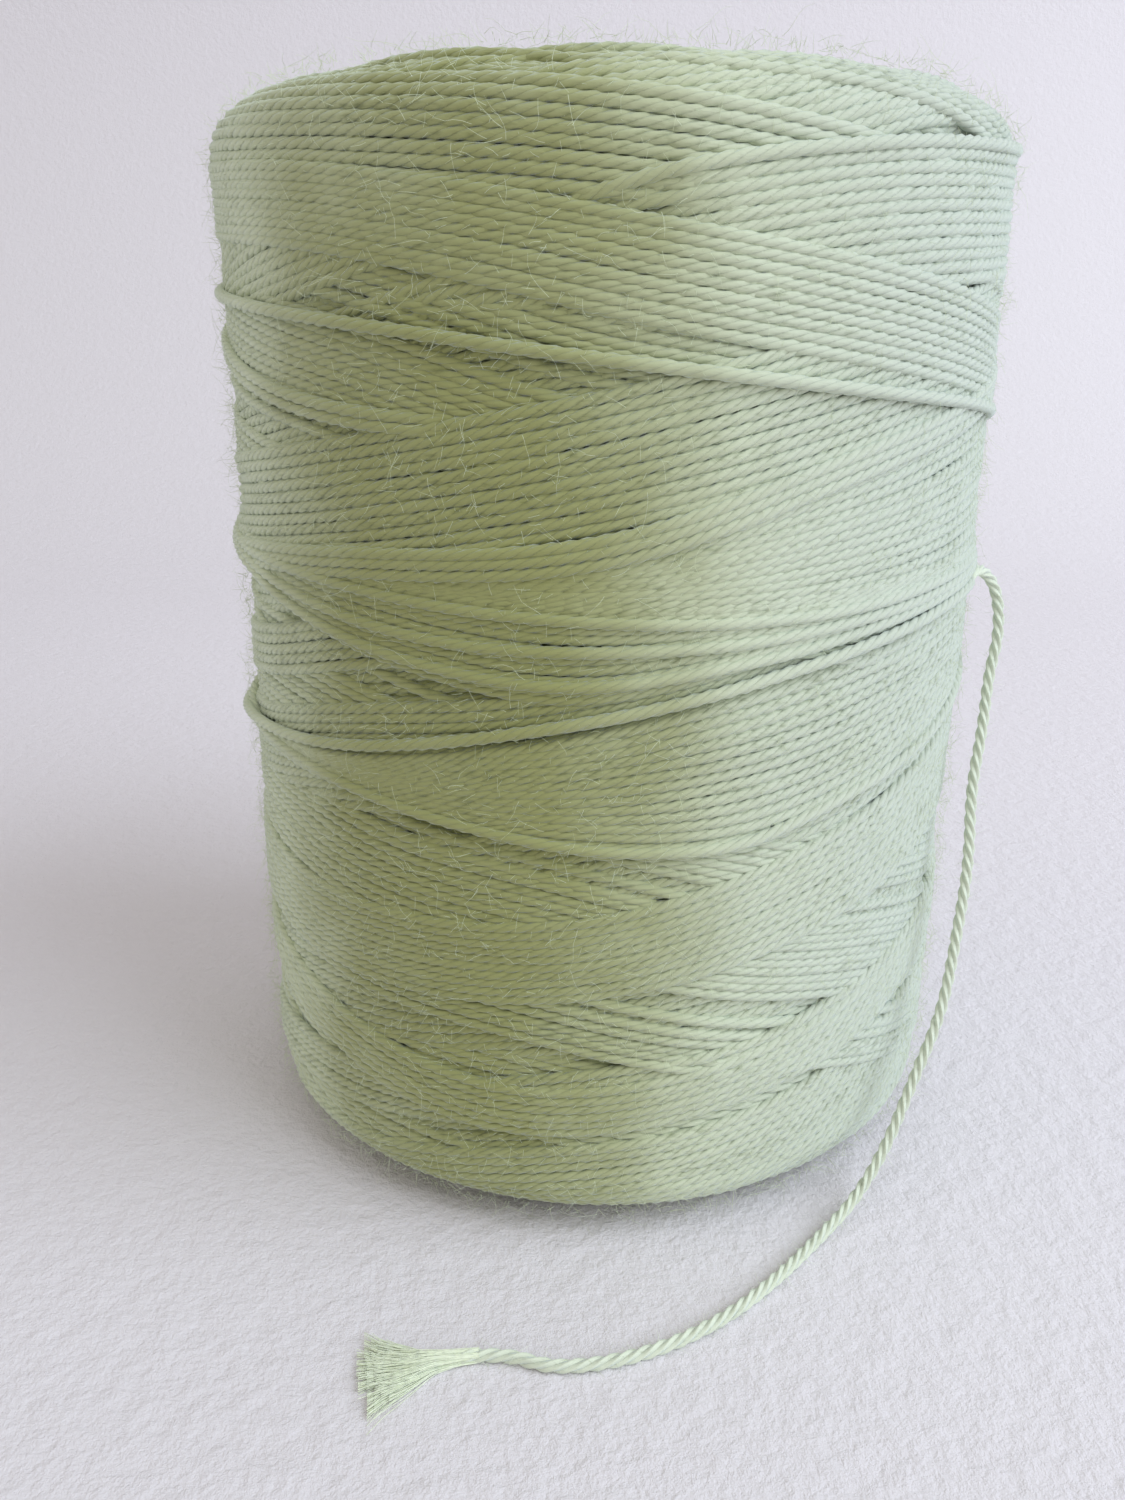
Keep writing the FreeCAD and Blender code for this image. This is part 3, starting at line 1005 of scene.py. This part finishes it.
def ground_profile(out):
    """The outline of the winding, a little outside it."""
    innermost = TUBE_OUTSIDE + CLEAR_OF_TUBE
    centre = WINDING_RADIUS - SHOULDER
    reach = SHOULDER + out
    outline = [(innermost, WINDING_BOTTOM + CLEAR_OF_TUBE), (innermost, WINDING_BOTTOM - out)]
    for centre_z, sign in ((WINDING_BOTTOM + SHOULDER, -1), (WINDING_TOP - SHOULDER, 1)):
        for step in range(SHOULDER_STEPS + 1):
            part = step / SHOULDER_STEPS
            turn = math.pi / 2 * (part if sign > 0 else 1 - part)
            outline.append((centre + reach * math.cos(turn), centre_z + sign * reach * math.sin(turn)))
    outline.append((innermost, WINDING_TOP + out))
    outline.append((innermost, WINDING_TOP - CLEAR_OF_TUBE))
    return outline


ground = lathe("fibre_ground", ground_profile(0.3), 96, fibre_cotton)
nap_settings = {
    "Length": 0.0013,
    "Lean least": 0.3,
    "Curl": 0.0004,
    "Thickness": 0.000023,
    "Points": 3,
    "Density": 262000.0,
    "Cotton": fibre_cotton,
}
for nap_number, nap_seed in ((1, 4), (2, 5)):
    grow("nap_%d" % nap_number, ground, {**nap_settings, "Seed": nap_seed})
over_wraps = lathe("curl_ground", ground_profile(0.8), 96, fibre_cotton)
curl_settings = {
    "Length": 0.0027,
    "Lean least": 1.1,
    "Curl": 0.0013,
    "Thickness": 0.00002,
    "Points": 6,
    "Density": 112000.0,
    "Seed": 9,
    "Cotton": fibre_cotton,
}
grow("curled_fibres", over_wraps, curl_settings)
bpy.data.objects.remove(ground)
bpy.data.objects.remove(over_wraps)
tail_fuzz_settings = {
    "Length": 0.0011,
    "Lean least": 0.4,
    "Curl": 0.0003,
    "Thickness": 0.000018,
    "Points": 4,
    "Density": 1500000.0,
    "Seed": 2,
    "Cotton": fibre_cotton,
}
tail_fuzz = grow("tail_fuzz", tail, tail_fuzz_settings)


# ---------------------------------------------------------------- paper tube
# Four strips of kraft paperboard wound in a slow spiral and glued. The seam between one turn of a
# strip and the next shows inside and out, and the cut ends show the plies.
SEAM_WIDTH = 0.014
BOARD_GRAIN = 1400.0


def paperboard(name, colour, lead):
    """Grained board with the dark spiral seam of a strip that climbs by lead in each turn."""
    material = bpy.data.materials.new(name)
    material.use_nodes = True
    tree = material.node_tree
    link = tree.links.new
    shader = tree.nodes["Principled BSDF"]
    shader.inputs["Roughness"].default_value = 0.9
    shader.inputs["Specular IOR Level"].default_value = 0.25
    place = node(tree, "ShaderNodeTexCoord", -1000, 0)
    parts = node(tree, "ShaderNodeSeparateXYZ", -800, -200)
    link(place.outputs["Object"], parts.inputs["Vector"])
    angle = math_node(tree, "ARCTAN2", parts.outputs["Y"], parts.outputs["X"])
    turn = math_node(tree, "DIVIDE", angle, 2 * math.pi)
    climb = math_node(tree, "DIVIDE", parts.outputs["Z"], lead)
    seam = math_node(tree, "FRACT", math_node(tree, "ADD", turn, climb))
    line = math_node(tree, "LESS_THAN", seam, SEAM_WIDTH)
    grain = node(tree, "ShaderNodeTexNoise", -700, 150, Scale=BOARD_GRAIN, Detail=4.0, Roughness=0.65)
    link(place.outputs["Object"], grain.inputs["Vector"])
    ramp = node(tree, "ShaderNodeValToRGB", -400, 150)
    ramp.color_ramp.elements[0].position = 0.3
    ramp.color_ramp.elements[0].color = (*[0.72 * part for part in colour], 1.0)
    ramp.color_ramp.elements[1].position = 0.75
    ramp.color_ramp.elements[1].color = (*colour, 1.0)
    link(grain.outputs["Fac"], ramp.inputs["Fac"])
    darkened = tree.nodes.new("ShaderNodeMix")
    darkened.data_type = "RGBA"
    darkened.inputs[7].default_value = (*[0.45 * part for part in colour], 1.0)
    link(math_node(tree, "MULTIPLY", line, 0.7), darkened.inputs[0])
    link(ramp.outputs["Color"], darkened.inputs[6])
    link(darkened.outputs[2], shader.inputs["Base Color"])
    bump = node(tree, "ShaderNodeBump", -200, -250, Strength=0.35, Distance=0.0001)
    seam_depth = math_node(tree, "MULTIPLY", line, 1.5)
    link(math_node(tree, "SUBTRACT", grain.outputs["Fac"], seam_depth), bump.inputs["Height"])
    link(bump.outputs["Normal"], shader.inputs["Normal"])
    return material


KRAFT = (0.44, 0.31, 0.19)
PALE_KRAFT = (0.56, 0.45, 0.32)
for strip, colour, lead in (
    ("tube_liner", PALE_KRAFT, 0.062),
    ("tube_inner_ply", KRAFT, 0.070),
    ("tube_outer_ply", KRAFT, 0.074),
    ("tube_cover_ply", PALE_KRAFT, 0.066),
):
    board = paperboard(strip + "_board", colour, lead)
    for item in scene.objects:
        if item.type == "MESH" and item.name.startswith(strip):
            for place in item.material_slots:
                place.material = board


# ---------------------------------------------------------------- stage and light
# The package stands on a napped white cloth that curves up behind it into the backdrop. One large
# window on the right lights it, and the room fills in from all round, a little warmer at the left.
scene.view_settings.view_transform = "Standard"
FRONT_EDGE = -2.5
SHEET_HALF_WIDTH = 3.0
SHEET_HEIGHT = 2.5
BEND_START = 0.30
BEND = 0.30
BEND_STEPS = 12
profile = [(FRONT_EDGE, 0.0), (BEND_START, 0.0)]
for part in range(1, BEND_STEPS + 1):
    turn = math.pi / 2 * part / BEND_STEPS
    profile.append((BEND_START + BEND * math.sin(turn), BEND - BEND * math.cos(turn)))
profile.append((BEND_START + BEND, SHEET_HEIGHT))
corners = []
for y, z in profile:
    corners.append((-SHEET_HALF_WIDTH, y, z))
    corners.append((SHEET_HALF_WIDTH, y, z))
faces = [(2 * i, 2 * i + 1, 2 * i + 3, 2 * i + 2) for i in range(len(profile) - 1)]
sheet = bpy.data.meshes.new("table_sheet")
sheet.from_pydata(corners, [], faces)
sheet.polygons.foreach_set("use_smooth", [True] * len(faces))
table = bpy.data.objects.new("table_sheet", sheet)
scene.collection.objects.link(table)
felt = bpy.data.materials.new("white_felt")
felt.use_nodes = True
felt_shader = felt.node_tree.nodes["Principled BSDF"]
felt_shader.inputs["Base Color"].default_value = (0.745, 0.71, 0.73, 1.0)
felt_shader.inputs["Roughness"].default_value = 1.0
felt_tree = felt.node_tree
felt_place = felt_tree.nodes.new("ShaderNodeTexCoord")
lumps = felt_tree.nodes.new("ShaderNodeTexNoise")
lumps.inputs["Scale"].default_value = 330.0
lumps.inputs["Detail"].default_value = 5.0
lumps.inputs["Roughness"].default_value = 0.7
felt_tree.links.new(felt_place.outputs["Object"], lumps.inputs["Vector"])
felt_bump = felt_tree.nodes.new("ShaderNodeBump")
felt_bump.inputs["Strength"].default_value = 0.6
felt_bump.inputs["Distance"].default_value = 0.0012
felt_tree.links.new(lumps.outputs["Fac"], felt_bump.inputs["Height"])
felt_tree.links.new(felt_bump.outputs["Normal"], felt_shader.inputs["Normal"])
sheet.materials.append(felt)

world = bpy.data.worlds.new("studio")
scene.world = world
world.use_nodes = True
sky = world.node_tree
sky_place = sky.nodes.new("ShaderNodeTexCoord")
sky_parts = sky.nodes.new("ShaderNodeSeparateXYZ")
sky.links.new(sky_place.outputs["Generated"], sky_parts.inputs["Vector"])
sky_side = sky.nodes.new("ShaderNodeMapRange")
sky_side.inputs["From Min"].default_value = -0.8
sky_side.inputs["From Max"].default_value = 0.8
sky.links.new(sky_parts.outputs["X"], sky_side.inputs["Value"])
sky_tint = sky.nodes.new("ShaderNodeValToRGB")
sky_tint.color_ramp.elements[0].color = (1.0, 0.95, 0.88, 1.0)
sky_tint.color_ramp.elements[1].color = (0.93, 0.96, 1.0, 1.0)
sky.links.new(sky_side.outputs["Result"], sky_tint.inputs["Fac"])
sky.links.new(sky_tint.outputs["Color"], sky.nodes["Background"].inputs["Color"])
sky.nodes["Background"].inputs["Strength"].default_value = 0.71

WINDOW_PLACE = Vector((0.95, -0.40, 0.80))
WINDOW_AIM = Vector((0.0, 0.0, 0.05))
window_light = bpy.data.lights.new("window", "AREA")
window_light.shape = "RECTANGLE"
window_light.size = 1.1
window_light.size_y = 1.1
window_light.energy = 14.3
window_light.color = (0.79, 0.88, 1.0)
window = bpy.data.objects.new("window", window_light)
window.location = WINDOW_PLACE
window.rotation_euler = (WINDOW_AIM - WINDOW_PLACE).to_track_quat("-Z", "Y").to_euler()
scene.collection.objects.link(window)
